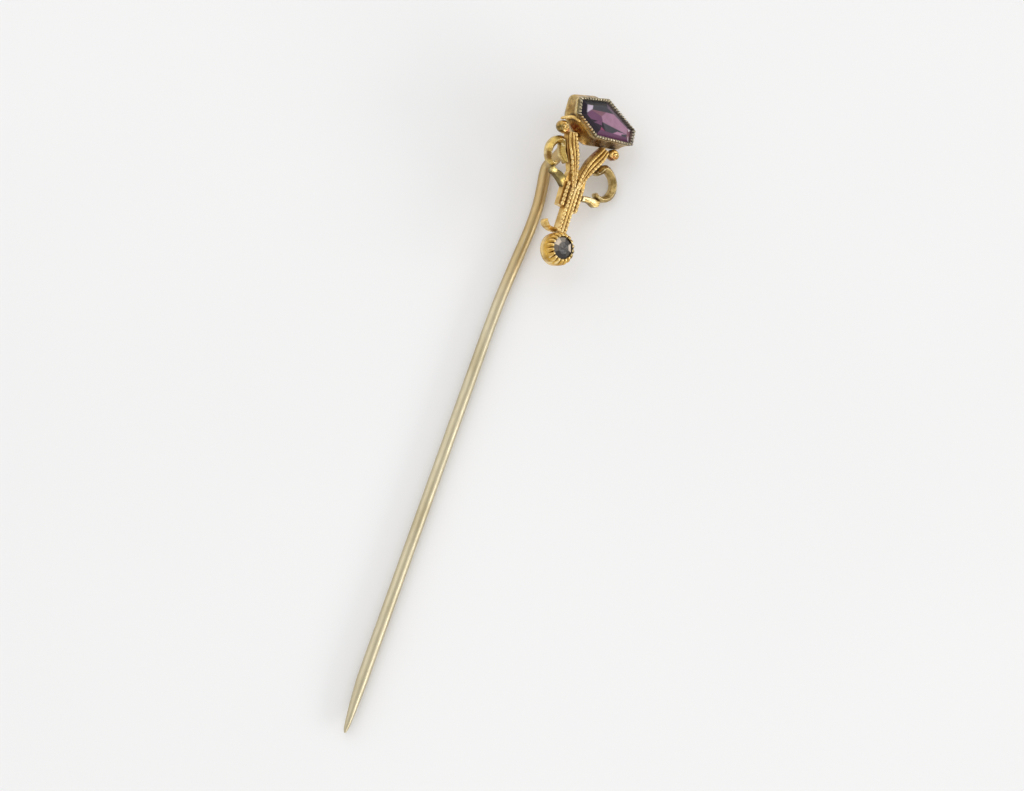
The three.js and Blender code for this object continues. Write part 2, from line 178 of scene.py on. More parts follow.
class Path:
    """A smooth curve, read by the share s of its length."""

    def __init__(self, points):
        self.points = smooth_points(points)
        self.marks = [0.0]
        for a, b in zip(self.points, self.points[1:]):
            self.marks.append(self.marks[-1] + (b - a).length)
        self.length = self.marks[-1]

    def at(self, s):
        goal = min(max(s, 0.0), 1.0) * self.length
        i = 1
        while i < len(self.marks) - 1 and self.marks[i] < goal:
            i += 1
        a, b = self.points[i - 1], self.points[i]
        t = (goal - self.marks[i - 1]) / (self.marks[i] - self.marks[i - 1])
        before = self.points[max(0, i - 2)]
        after = self.points[min(len(self.points) - 1, i + 1)]
        return a.lerp(b, t), (after - before).normalized()


def smoothstep(x, low, high):
    t = min(max((x - low) / (high - low), 0.0), 1.0)
    return t * t * (3 - 2 * t)


def mix(a, b, t):
    return a + (b - a) * t


def loft(rings, closed=False):
    """A skin through rings of equally many points, capped at its ends unless it closes on itself."""
    count = len(rings[0])
    vertices = [p for ring in rings for p in ring]
    faces = []
    for r in range(len(rings) if closed else len(rings) - 1):
        a, b = r * count, (r + 1) % len(rings) * count
        for i in range(count):
            j = (i + 1) % count
            faces.append((a + i, a + j, b + j, b + i))
    if not closed:
        faces.append(tuple(range(count)))
        faces.append(tuple(range(len(vertices) - count, len(vertices))))
    return vertices, faces


def sweep(path, section, stations, width=lambda s: 1.0):
    """Carries section(s), a list of (across, height), along a path that lies in the XY plane."""
    rings = []
    for s in stations:
        point, along = path.at(s)
        across = Vector((along.y, -along.x, 0))
        rings.append([point + across * (x * width(s)) + Vector((0, 0, z)) for x, z in section(s)])
    return rings


def spaced(count):
    return [k / count for k in range(count + 1)]


def circle(radius, x=0.0, z=0.0, count=16, flat=1.0):
    turn = 2 * math.pi / count
    return [
        (x + radius * math.cos(k * turn), z + radius * flat * math.sin(k * turn)) for k in range(count)
    ]


def rounded_box(x0, x1, z0, z1, radius, steps=3):
    """A rectangle with rounded corners, anticlockwise."""
    corners = [(x1 - radius, z1 - radius, 0), (x0 + radius, z1 - radius, 1)]
    corners += [(x0 + radius, z0 + radius, 2), (x1 - radius, z0 + radius, 3)]
    points = []
    for x, z, quarter in corners:
        for k in range(steps + 1):
            angle = (quarter + k / steps) * math.pi / 2
            points.append((x + radius * math.cos(angle), z + radius * math.sin(angle)))
    return points


# ---------------------------------------------------------------- materials


class Nodes:
    """Short names for the shader nodes that the materials are made of."""

    def __init__(self, name):
        self.material = bpy.data.materials.new(name)
        self.material.use_nodes = True
        self.tree = self.material.node_tree
        self.shader = self.tree.nodes["Principled BSDF"]

    def make(self, kind, **values):
        node = self.tree.nodes.new(kind)
        for key, value in values.items():
            setattr(node, key, value)
        return node

    def link(self, source, target):
        self.tree.links.new(source, target)

    def put(self, socket, value):
        if isinstance(value, bpy.types.NodeSocket):
            self.link(value, socket)
        else:
            socket.default_value = value

    def place(self):
        return self.make("ShaderNodeTexCoord").outputs["Object"]

    def noise(self, size, detail=3.0, rough=0.55, stretch=None):
        """Noise whose patches are about size millimetres across."""
        node = self.make("ShaderNodeTexNoise")
        where = self.place()
        if stretch:
            mapping = self.make("ShaderNodeMapping")
            self.link(where, mapping.inputs["Vector"])
            mapping.inputs["Scale"].default_value = stretch
            where = mapping.outputs["Vector"]
        self.link(where, node.inputs["Vector"])
        node.inputs["Scale"].default_value = 1 / (size * MM)
        node.inputs["Detail"].default_value = detail
        node.inputs["Roughness"].default_value = rough
        return node.outputs["Fac"]

    def ramp(self, value, low, high, to_low=0.0, to_high=1.0):
        node = self.make("ShaderNodeMapRange", interpolation_type="SMOOTHSTEP")
        self.put(node.inputs["Value"], value)
        for name, number in (
            ("From Min", low), ("From Max", high), ("To Min", to_low), ("To Max", to_high)
        ):
            node.inputs[name].default_value = number
        return node.outputs["Result"]

    def math(self, operation, a, b):
        node = self.make("ShaderNodeMath", operation=operation)
        self.put(node.inputs[0], a)
        self.put(node.inputs[1], b)
        return node.outputs["Value"]

    def blend(self, factor, a, b, kind="MIX"):
        node = self.make("ShaderNodeMix", data_type="RGBA", blend_type=kind)
        self.put(node.inputs["Factor"], factor)
        self.put(node.inputs["A"], a)
        self.put(node.inputs["B"], b)
        return node.outputs["Result"]

    def crevice(self, reach):
        """1 deep in a gap and 0 in the open, felt over reach millimetres."""
        node = self.make("ShaderNodeAmbientOcclusion", samples=6)
        node.inputs["Distance"].default_value = reach * MM
        return self.ramp(node.outputs["AO"], 0.35, 0.95, 1.0, 0.0)

    def edge(self):
        """1 on outward edges."""
        return self.ramp(self.make("ShaderNodeNewGeometry").outputs["Pointiness"], 0.52, 0.6)

    def near(self, spot, reach):
        """1 at a head point, falling to 0 at reach millimetres from it."""
        node = self.make("ShaderNodeVectorMath", operation="DISTANCE")
        self.link(self.place(), node.inputs[0])
        node.inputs[1].default_value = HEAD @ Vector(spot)
        return self.ramp(node.outputs["Value"], reach * 0.35 * MM, reach * MM, 1.0, 0.0)

    def bump(self, height, depth):
        """Raises the surface by height times depth millimetres."""
        node = self.make("ShaderNodeBump")
        node.inputs["Strength"].default_value = 1.0
        node.inputs["Distance"].default_value = depth * MM
        self.link(height, node.inputs["Height"])
        self.link(node.outputs["Normal"], self.shader.inputs["Normal"])

    def finish(self, **values):
        for name, value in values.items():
            self.put(self.shader.inputs[name.replace("_", " ")], value)
        return self.material


def rgb(red, green, blue):
    """A colour given as it looks on a screen, from 0 to 255."""
    linear = [
        (c / 12.92 if c <= 0.04045 else ((c + 0.055) / 1.055) ** 2.4)
        for c in (red / 255, green / 255, blue / 255)
    ]
    return (*linear, 1.0)


def gilding(name, dull, bright, worn, grime_and_shade, grime_and_shade_amount=1.0, spots=(), smooth=0.24, grain=1.0):
    """Old gilding: bright and dull patches, soiling and painted shade in the crevices, bare metal where
    edges rub, and stains, painted shade and painted highlights at the listed (head point, reach, colour)
    spots."""
    n = Nodes(name)
    patches = n.ramp(n.noise(0.9, 4.0), 0.36, 0.64)
    colour = n.blend(patches, dull, bright)
    mottle = n.ramp(n.noise(0.28, 3.0), 0.5, 0.72, 0.0, 0.5)
    colour = n.blend(mottle, colour, dull)
    for spot, reach, patch_colour in spots:
        edge_noise = n.ramp(n.noise(0.35, 4.0), 0.25, 0.55)
        colour = n.blend(n.math("MULTIPLY", n.near(spot, reach), edge_noise), colour, patch_colour)
    # Crevices are darkened with soiling and painted shade where the surroundings close in.
    crevice = n.math("MULTIPLY", n.crevice(0.3), grime_and_shade_amount)
    colour = n.blend(crevice, colour, grime_and_shade)
    colour = n.blend(n.math("MULTIPLY", n.edge(), 0.7), colour, worn)
    scuffs = n.ramp(n.noise(0.16, 4.0), 0.3, 0.75, smooth * 0.75, smooth * 1.7)
    roughness = n.math("ADD", scuffs, n.math("MULTIPLY", crevice, 0.25))
    dimples = n.math("ADD", n.noise(0.12, 3.0), n.math("MULTIPLY", n.noise(0.45, 2.0), 1.6))
    n.bump(dimples, 0.02 * grain)
    return n.finish(Base_Color=colour, Metallic=1.0, Roughness=roughness)


def shank_brass():
    """Drawn brass wire: brown by the head and silvery towards its point, with fine draw lines along it
    and dark specks."""
    n = Nodes("shank_brass")
    axes = n.make("ShaderNodeSeparateXYZ")
    n.link(n.place(), axes.inputs[0])
    towards_point = n.ramp(axes.outputs["Y"], 18 * MM, 8 * MM)
    colour = n.blend(towards_point, rgb(188, 160, 112), rgb(196, 186, 158))
    patches = n.ramp(n.noise(2.2, 5.0, stretch=(1, 0.35, 1)), 0.4, 0.66)
    colour = n.blend(n.math("MULTIPLY", patches, 0.5), colour, rgb(168, 152, 112))
    lines = n.noise(0.09, 4.0, stretch=(1, 0.03, 1))
    colour = n.blend(n.ramp(lines, 0.5, 0.7, 0.0, 0.3), colour, rgb(214, 204, 180))
    specks = n.ramp(n.noise(0.45, 3.0, stretch=(1, 0.5, 1)), 0.68, 0.76, 0.0, 0.8)
    colour = n.blend(specks, colour, rgb(120, 88, 48))
    roughness = n.ramp(n.noise(0.3, 4.0, stretch=(1, 0.2, 1)), 0.3, 0.7, 0.36, 0.5)
    n.bump(lines, 0.012)
    return n.finish(Base_Color=colour, Metallic=1.0, Roughness=roughness)


def paste(name, gloss=0.07):
    """Cut paste over foil. The facets' colours, with painted reflections and glints, are painted on the
    mesh, and the polish varies.
    """
    n = Nodes(name)
    paint = n.make("ShaderNodeAttribute", attribute_name="paint").outputs["Color"]
    cloud = n.ramp(n.noise(0.5, 3.0), 0.35, 0.65, 0.0, 0.16)
    colour = n.blend(cloud, paint, rgb(40, 30, 44))
    polish = n.ramp(n.noise(0.2, 3.0), 0.4, 0.7, gloss, gloss * 1.8)
    n.bump(n.noise(0.4, 2.0), 0.003)
    return n.finish(Base_Color=colour, Roughness=polish, IOR=1.4)


# The crevice colours paint soiling and shade into hollows. The red, brown and grey spot colours are
# stains in some places and painted shade in others, and the lemon colour is a painted highlight.
GOLD_DULL = rgb(190, 150, 78)
GOLD = rgb(230, 194, 118)
GOLD_WORN = rgb(252, 230, 172)
GOLD_GRIME_AND_SHADE = rgb(180, 136, 72)
OLIVE_DULL = rgb(140, 116, 66)
OLIVE = rgb(196, 170, 112)
OLIVE_WORN = rgb(246, 230, 186)
OLIVE_GRIME_AND_SHADE = rgb(92, 66, 34)
DARK_DULL = rgb(108, 96, 68)
DARK = rgb(158, 144, 106)
DARK_WORN = rgb(236, 226, 204)
BLACKENED_AND_SHADE = rgb(34, 28, 26)
GREY_TARNISH_AND_SHADE = rgb(92, 84, 80)
RED_STAIN_AND_SHADE = rgb(120, 62, 40)
BROWN_STAIN_AND_SHADE = rgb(132, 98, 52)
LEMON_HIGHLIGHT = rgb(246, 224, 146)

gold = gilding("gilt_bright", GOLD_DULL, GOLD, GOLD_WORN, GOLD_GRIME_AND_SHADE, 0.85, smooth=0.3)
# Both spots on the right band are painted shade over its inner bead row and side wall.
brown_gold = gilding(
    "gilt_band_shaded", GOLD_DULL, GOLD, GOLD_WORN, GOLD_GRIME_AND_SHADE, 0.9,
    [((1.55, -2.6, -1.9), 1.3, RED_STAIN_AND_SHADE), ((0.9, -3.9, -2.0), 0.9, BROWN_STAIN_AND_SHADE)],
    smooth=0.3,
)
left_band_gold = gilding(
    "gilt_band_end", GOLD_DULL, GOLD, GOLD_WORN, GOLD_GRIME_AND_SHADE, 0.9,
    # The brown spot at the band's top is painted shadow under the rolled end.
    [((-2.0, -2.1, -1.7), 0.6, BROWN_STAIN_AND_SHADE), ((-1.5, -3.6, -1.9), 0.8, rgb(206, 158, 96))],
    smooth=0.3,
)
volute_gold = gilding(
    "gilt_roll", GOLD_DULL, GOLD, GOLD_WORN, OLIVE_GRIME_AND_SHADE, 0.9,
    # The darker spots are painted shade on the rolls' lower sides, and the pinkish spot is a painted
    # highlight.
    [
        ((-3.5, -2.25, -1.7), 0.75, rgb(104, 84, 40)), ((3.0, -2.4, -1.6), 0.6, rgb(150, 84, 44)),
        ((-2.6, -2.2, -1.5), 0.4, rgb(222, 160, 116)),
    ],
    smooth=0.22,
)
olive_gold = gilding("gilt_olive", OLIVE_DULL, OLIVE, OLIVE_WORN, OLIVE_GRIME_AND_SHADE, 0.9, smooth=0.3)
left_gold = gilding(
    "gilt_left_scroll", rgb(156, 126, 66), rgb(214, 184, 106), OLIVE_WORN, OLIVE_GRIME_AND_SHADE, 0.9,
    # The lemon spot at the scroll's end is a painted highlight.
    [((-3.6, -4.9, -1.6), 0.8, BROWN_STAIN_AND_SHADE), ((-2.65, -5.2, -1.5), 0.45, LEMON_HIGHLIGHT)],
    smooth=0.28,
)
# The left leaf's colours are darkened as painted shade on its face.
shaded_leaf_gold = gilding(
    "gilt_leaf", rgb(98, 84, 50), rgb(132, 118, 74), OLIVE, rgb(58, 46, 28), 1.0,
    # The lemon spot at the leaf's tip is a painted highlight.
    [((-2.75, -5.75, -1.6), 0.55, LEMON_HIGHLIGHT), ((-1.3, -6.4, -1.6), 0.5, rgb(226, 196, 110))],
    smooth=0.32,
)
wall_gold = gilding(
    "gilt_wall", rgb(138, 108, 62), rgb(206, 172, 104), rgb(226, 204, 150), rgb(76, 54, 28), 1.0,
    [
        # The black spot is painted shade in the hollow between the bands' tops, and the grey spot on the
        # lower right is painted shade.
        ((-1.75, -1.45, -1.7), 0.9, RED_STAIN_AND_SHADE), ((-1.05, -1.75, -1.9), 0.42, BLACKENED_AND_SHADE),
        ((-1.5, -2.0, -2.1), 0.45, rgb(232, 190, 84)), ((1.6, -1.6, -1.6), 2.2, rgb(158, 138, 108)),
        ((-2.75, -0.95, -1.2), 0.6, GREY_TARNISH_AND_SHADE), ((-0.3, -2.3, -2.1), 0.7, rgb(212, 158, 78)),
    ],
    grain=2.0,
)
collar_gold = gilding(
    "gilt_oxidised", DARK_DULL, DARK, DARK_WORN, BLACKENED_AND_SHADE, 1.1,
    [
        # The grey spots on the right and upper right are painted shade; the crevice colour is blackening
        # and painted shade.
        ((3.6, -0.3, -0.3), 1.3, GREY_TARNISH_AND_SHADE), ((1.9, 1.25, -0.2), 1.6, rgb(112, 100, 94)),
        ((-1.9, -1.2, -0.3), 1.3, rgb(196, 156, 92)), ((1.5, -1.4, -0.4), 1.5, rgb(166, 146, 112)),
    ],
    smooth=0.32,
)
collet_gold = gilding(
    "gilt_collet", rgb(190, 146, 64), rgb(226, 184, 92), GOLD_WORN, rgb(70, 50, 26), 1.1,
    # The dark spot on the crown's upper right is painted shade.
    [((1.2, -12.0, -0.9), 1.3, rgb(70, 62, 54))],
)
brass = shank_brass()
purple = paste("purple_paste")
clear = paste("clear_paste")


# ---------------------------------------------------------------- pieces


def add_piece(name, skin, material, node, sharp=38.0):
    """Makes one closed piece from a skin in head millimetres, standing for one CAD node."""
    vertices, faces = skin
    mesh = bpy.data.meshes.new(name)
    mesh.from_pydata([HEAD @ Vector(v) for v in vertices], [], faces)
    work = bmesh.new()
    work.from_mesh(mesh)
    bmesh.ops.recalc_face_normals(work, faces=work.faces)
    work.to_mesh(mesh)
    work.free()
    mesh.shade_smooth()
    mesh.set_sharp_from_angle(angle=math.radians(sharp))
    mesh.materials.append(material)
    piece = bpy.data.objects.new(name, mesh)
    bpy.context.scene.collection.objects.link(piece)
    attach(piece, "root")
    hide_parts(node)
    return piece


def soften(piece, width, steps=3, angle=40.0):
    """Rounds a piece's edges over by width millimetres."""
    bevel = piece.modifiers.new("soften", "BEVEL")
    bevel.width = width * MM
    bevel.segments = steps
    bevel.limit_method = "ANGLE"
    bevel.angle_limit = math.radians(angle)
    bevel.harden_normals = False


def as_drawn(skin):
    return skin


def mirrored(skin):
    vertices, faces = skin
    return [(-v[0], v[1], v[2]) for v in vertices], faces


def setting_corners(grow, flare):
    """The setting's corners, grown outwards by about grow. flare is 0 at the front rim and 1 at the
    wall's back."""
    scale_x = 1 + grow / RIM_HALF_WIDTH
    scale_y = 1 + grow / RIM_HALF_HEIGHT
    return [
        Vector((mix(x, back_x, flare) * scale_x, mix(y, back_y, flare) * scale_y, 0))
        for (x, y), (back_x, back_y) in zip(RIM_CORNERS, BACK_CORNERS)
    ]


def setting_outline(grow, flare, radius, spacing=0.06, bend_steps=6):
    """The setting's outline as points, with rounded corners. It has equally many points however far it
    is grown or flared."""
    nominal = setting_corners(0, 0)
    corners = setting_corners(grow, flare)
    stations = []
    for i, corner in enumerate(corners):
        before = corner + (corners[i - 1] - corner).normalized() * radius
        following = (i + 1) % len(corners)
        after = corner + (corners[following] - corner).normalized() * radius
        next_before = corners[following] + (corner - corners[following]).normalized() * radius
        for k in range(bend_steps):
            t = k / bend_steps
            stations.append(before.lerp(corner, t).lerp(corner.lerp(after, t), t))
        run = (nominal[following] - nominal[i]).length - 2 * radius
        count = max(4, round(run / spacing))
        for k in range(count):
            stations.append(after.lerp(next_before, k / count))
    return stations


def ring_round(profile):
    """A closed ring round the setting. The profile lists (grow, flare, z, corner radius)."""
    outlines = [setting_outline(grow, flare, radius) for grow, flare, _, radius in profile]
    rings = []
    for station in range(len(outlines[0])):
        rings.append([
            Vector((outline[station].x, outline[station].y, z))
            for outline, (_, _, z, _) in zip(outlines, profile)
        ])
    return loft(rings, closed=True)


def large_setting():
    edge = 0.07
    back = -SETTING_DEPTH
    front = back + PLATE_THICKNESS - SEAM
    soft = CORNER_RADIUS * 1.8
    outline = [
        (-edge, back), (-edge * 0.3, back + edge * 0.3), (0, back + edge), (0, front - 0.01),
        (-0.01, front),
    ]
    rings = []
    for grow, z in outline:
        ring = setting_outline(grow, 1, soft)
        rings.append([Vector((p.x, p.y, z)) for p in ring])
    add_piece("back_plate", loft(rings), wall_gold, "setting_back_plate")

    wall_back = -SETTING_DEPTH + PLATE_THICKNESS
    wall_front = -COLLAR_DEPTH - SEAM
    lip = 0.05
    profile = []
    for k in range(9):
        t = k / 8
        hollow = 0.05 * math.sin(math.pi * t)
        flare = (1 - t) ** 1.3
        profile.append((
            mix(WALL_STEP, 0, flare) - hollow, flare, mix(wall_back, wall_front - 2 * lip, t),
            mix(CORNER_RADIUS, soft, flare),
        ))
    for k in range(5):
        angle = math.pi * (k / 4 - 0.5)
        swell = WALL_STEP + lip * 0.5 * math.cos(angle)
        profile.append((swell, 0, wall_front - lip + lip * math.sin(angle), CORNER_RADIUS))
    profile += [
        (WALL_STEP - WALL_THICKNESS, 0, wall_front, CORNER_RADIUS),
        (-WALL_THICKNESS, 1, wall_back, CORNER_RADIUS),
    ]
    add_piece("wall", ring_round(profile), wall_gold, "setting_wall")


def collar():
    """A smooth band whose front edge is nicked into small grains. They run further down the outside
    along the lower left edge."""
    radius = 0.12
    steps_per_grain = 10
    growths = (0.0, -0.05, -0.12, -0.19, -COLLAR_WALL, 0.03)
    outlines = {g: setting_outline(g, 0, radius, spacing=GRAIN_PITCH / 6) for g in growths}
    nominal = outlines[0.0]
    run = [0.0]
    for a, b in zip(nominal, nominal[1:] + nominal[:1]):
        run.append(run[-1] + (b - a).length)
    steps = round(run[-1] / GRAIN_PITCH) * steps_per_grain
    rings = []
    i = 0
    for step in range(steps):
        goal = run[-1] * step / steps
        while run[i + 1] <= goal:
            i += 1
        t = (goal - run[i]) / (run[i + 1] - run[i])
        at = {g: points[i].lerp(points[(i + 1) % len(points)], t) for g, points in outlines.items()}
        wear = noise.noise(Vector((goal * 1.7, 0.5, 0.0)))
        place = at[0.0]
        long_teeth = smoothstep(-place.x, -0.1, 0.5) * smoothstep(-place.y, 0.5, 0.8)
        swell = min(1.0, 1.5 * abs(math.sin(math.pi * step / steps_per_grain)))
        top = -GRAIN_NOTCH * (1 + 0.5 * wear) * (1 - swell) - 0.015 + 0.02 * wear
        out = at[0.0].lerp(at[0.03], swell)
        flute = mix(-0.24, -COLLAR_DEPTH + 0.08, long_teeth)
        groove = out.lerp(at[-0.05], 0.9 * (1 - swell))
        levels = [
            (at[0.0], -COLLAR_DEPTH), (at[0.03], -COLLAR_DEPTH + 0.03), (at[0.0], flute - 0.02),
            (groove, flute + 0.04), (groove, top - 0.08),
            (at[0.0].lerp(at[-0.05], 1 - swell), top - 0.04),
            (at[-0.05], top - 0.005), (at[-0.12], top), (at[-0.19], top - 0.02),
            (at[-COLLAR_WALL], top - 0.09), (at[-COLLAR_WALL], -COLLAR_DEPTH),
        ]
        rings.append([p + Vector((0, 0, z)) for p, z in levels])
    add_piece("collar", loft(rings, closed=True), collar_gold, "setting_collar", 60)


# The colours that show in the big stone, from its dark body to the painted reflections and glints of its
# palest facets.
STONE_DARK = rgb(60, 60, 66)
STONE_BLACK = rgb(28, 14, 32)
STONE_SMOKE = rgb(118, 104, 116)
STONE_PLUM = rgb(104, 64, 94)
STONE_BROWN = rgb(124, 84, 98)
STONE_MAUVE = rgb(156, 116, 138)
STONE_FLAME = rgb(160, 118, 144)
STONE_MAGENTA = rgb(136, 60, 92)
STONE_LILAC_REFLECTION = rgb(186, 172, 190)
STONE_GLINT = rgb(205, 186, 196)


def stone_facets():
    """The stone's facets as (colour, outline), lowest layer first. Each outline is set out from the
    corners of its girdle and its table, which run anticlockwise from the lower right."""
    girdle = setting_corners(-COLLAR_WALL - STONE_GAP, 0)
    table = [Vector((p.x * TABLE_SHARE_X, p.y * TABLE_SHARE_Y, 0)) for p in girdle]
    lower_right, upper_right, top, upper_left, lower_left, bottom = table

    def bevel(i):
        k = (i + 1) % len(table)
        return [table[i], table[k], girdle[k], girdle[i]]

    heart = upper_left.lerp(lower_right, 0.36)
    brow = top.lerp(bottom, 0.2)
    cheek = upper_left.lerp(bottom, 0.18)
    waist = bottom.lerp(top, 0.34)
    tail = lower_right.lerp(upper_right, 0.35)
    glint = upper_right.lerp(girdle[0], 0.4)
    return [
        (STONE_SMOKE, bevel(1)),
        (STONE_DARK, bevel(2)),
        (STONE_BLACK, bevel(3)),
        (STONE_BLACK, bevel(4)),
        (STONE_PLUM, bevel(5)),
        (STONE_BROWN, bevel(0)),
        (STONE_PLUM, [lower_left, cheek, heart, waist, bottom.lerp(lower_left, 0.6)]),
        (STONE_BROWN, [cheek, brow, heart]),
        (STONE_MAUVE, [heart, brow, top.lerp(upper_right, 0.3), upper_right, tail, waist]),
        (STONE_BLACK, [lower_left.lerp(bottom, 0.3), waist, bottom.lerp(lower_right, 0.2), bottom]),
        (STONE_PLUM, [lower_left.lerp(bottom, 0.5), heart.lerp(waist, 0.6), waist.lerp(bottom, 0.45)]),
        (STONE_MAGENTA, [bottom, bottom.lerp(waist, 0.4), bottom.lerp(lower_right, 0.17)]),
        (STONE_FLAME, [
            bottom.lerp(lower_right, 0.48), waist.lerp(lower_right, 0.62), tail,
            lower_right.lerp(waist, 0.2), bottom.lerp(lower_right, 0.8),
        ]),
        # A painted reflection on the upper left, and painted glints on the right.
        (STONE_LILAC_REFLECTION, [
            upper_left, upper_left.lerp(top, 0.28), upper_left.lerp(lower_right, 0.13),
            upper_left.lerp(lower_left, 0.8),
        ]),
        (STONE_GLINT, [upper_right, girdle[1], upper_right.lerp(girdle[1], 0.5).lerp(lower_right, 0.3)]),
        (STONE_GLINT, [glint, glint.lerp(girdle[0], 0.9), lower_right.lerp(girdle[0], 0.5)]),
    ]


def inside(x, y, outline):
    """How far (x, y) is within a polygon: 1 well inside, 0 well outside, in between at its edge."""
    blur = 0.03
    crossings = 0
    nearest = 1e9
    for (ax, ay), (bx, by) in zip(outline, outline[1:] + outline[:1]):
        if (ay > y) != (by > y) and x < ax + (y - ay) * (bx - ax) / (by - ay):
            crossings += 1
        dx, dy = bx - ax, by - ay
        t = min(max(((x - ax) * dx + (y - ay) * dy) / (dx * dx + dy * dy), 0), 1)
        nearest = min(nearest, math.hypot(x - ax - t * dx, y - ay - t * dy))
    signed = nearest if crossings % 2 else -nearest
    return smoothstep(signed, -blur, blur)


def paint(piece, colour_at):
    """Stores colour_at(head point) on each vertex."""
    to_head = HEAD.inverted()
    attribute = piece.data.attributes.new("paint", "FLOAT_COLOR", "POINT")
    for vertex in piece.data.vertices:
        attribute.data[vertex.index].color = colour_at(to_head @ vertex.co)


def large_stone():
    """A hexagonal table with one row of facets, cut finely enough to carry the colours."""
    girdle = setting_outline(-COLLAR_WALL - STONE_GAP, 0, 0.05, spacing=0.05, bend_steps=2)
    table = [Vector((p.x * TABLE_SHARE_X, p.y * TABLE_SHARE_Y, 0)) for p in girdle]
    rings = [[Vector((p.x * KEEL_SHARE, 0, KEEL_BACK)) for p in girdle]]
    rings.append([Vector((p.x, p.y, GIRDLE_BACK)) for p in girdle])
    crown_steps = 8
    for k in range(crown_steps + 1):
        t = k / crown_steps
        rise = Vector((0, 0, mix(GIRDLE_FRONT, TABLE_FRONT, t)))
        rings.append([a.lerp(b, t) + rise for a, b in zip(girdle, table)])
    table_steps = 44
    for k in range(1, table_steps):
        t = 1 - k / table_steps
        rings.append([Vector((p.x * t, p.y * t, TABLE_FRONT)) for p in table])
    piece = add_piece("big_stone", loft(rings), purple, "large_stone", 8)
    facets = [(Vector(tone[:3]), [(p.x, p.y) for p in outline]) for tone, outline in stone_facets()]

    def colour_at(p):
        colour = Vector(STONE_DARK[:3])
        if p.z > GIRDLE_BACK - 0.1:
            for tone, outline in facets:
                colour = colour.lerp(tone, inside(p.x, p.y, outline))
        return (*colour, 1.0)

    paint(piece, colour_at)


BAND_PATH = Path([
    (2.0, -1.97), (1.89, -2.28), (1.72, -2.7), (1.42, -3.26), (1.08, -3.92), (0.74, -4.75),
    (0.44, -5.7), (0.24, -6.58),
])


def band_width(s):
    swell = smoothstep(s, 0, 0.2)
    narrowing = max(0.0, (s - 0.4) / 0.6)
    return mix(mix(BAND_WIDTH_TOP, BAND_WIDTH, swell), BAND_WIDTH_END, narrowing)


def beside_band(s, out):
    point, along = BAND_PATH.at(s)
    across = -(band_width(s) / 2 + out)
    return (point.x + across * along.y, point.y - across * along.x)


def bead_swell(t, depth):
    """The radius along a milled wire, from 1 at the middle of a bead to 1 - depth between beads."""
    u = 2 * (t % 1) - 1
    return 1 - depth * (1 - math.sqrt(max(0.0, 1 - (abs(u) * 0.98) ** 2)))


def bead_stations(count, per_bead=9):
    """Shares of a wire's length, closer together between the beads."""
    shares = []
    for bead in range(count):
        for k in range(per_bead):
            u = 0.5 - 0.5 * math.cos(math.pi * k / per_bead)
            shares.append((bead + u) / count)
    return shares + [1.0]


def milled_wire(path, offset, radius, width, front=STRIP_FRONT, pitch=BEAD_PITCH, worn=lambda s: 0.0):
    """A row of beads along a path, offset to one side. worn(s) of 1 leaves no beads."""
    count = max(2, round(path.length / pitch))
    centre_height = front + SEAM + radius

    def section(s):
        swell = mix(bead_swell(s * count, BEAD_DEPTH), 0.86, worn(s))
        return circle(radius * swell, 0, centre_height - radius * 0.5 * worn(s), 14)

    rings = []
    for s in bead_stations(count):
        point, along = path.at(s)
        across = Vector((along.y, -along.x, 0))
        centre = point + across * (offset * width(s))
        slim = mix(width(s), 1, 0.5)
        rings.append([centre + across * (x * slim) + Vector((0, 0, z)) for x, z in section(s)])
    return loft(rings)


def draw_in(s):
    return band_width(s) / BAND_WIDTH


def bands():
    body_rings = sweep(
        BAND_PATH, lambda s: rounded_box(-0.5, 0.5, STRIP_BACK, STRIP_FRONT, 0.07), spaced(60), band_width
    )
    ridge_rings = sweep(
        BAND_PATH,
        lambda s: circle(RIDGE_RADIUS, 0, STRIP_FRONT + SEAM + RIDGE_RADIUS, 14),
        spaced(60),
        draw_in,
    )
    beside = RIDGE_RADIUS + SEAM + BEAD_RADIUS
    sides = (("right", as_drawn, brown_gold), ("left", mirrored, left_band_gold))
    for side, turn, body_material in sides:
        add_piece(f"{side}_band_body", turn(loft(body_rings)), body_material, f"{side}_band")
        add_piece(
            f"{side}_band_ridge", turn(loft(ridge_rings)), gold, f"{side}_band_ridge_wire"
        )
    wires = {
        ("right", "inner"): (BEAD_PITCH, lambda s: 0.8 * (1 - smoothstep(s, 0.5, 0.75))),
        ("right", "outer"): (BEAD_PITCH, lambda s: 0.9 * (1 - smoothstep(s, 0.12, 0.28))),
        ("left", "inner"): (BEAD_PITCH * 0.9, lambda s: 0.0),
        ("left", "outer"): (BEAD_PITCH * 1.35, lambda s: 1 - smoothstep(s, 0.24, 0.34)),
    }
    for side, turn, _ in sides:
        for edge, offset in (("outer", -beside), ("inner", beside)):
            pitch, worn = wires[side, edge]
            wire = milled_wire(BAND_PATH, offset, BEAD_RADIUS, draw_in, pitch=pitch, worn=worn)
            add_piece(
                f"{side}_band_{edge}_beads", turn(wire), gold, f"{side}_band_{edge}_bead_wire", 60
            )


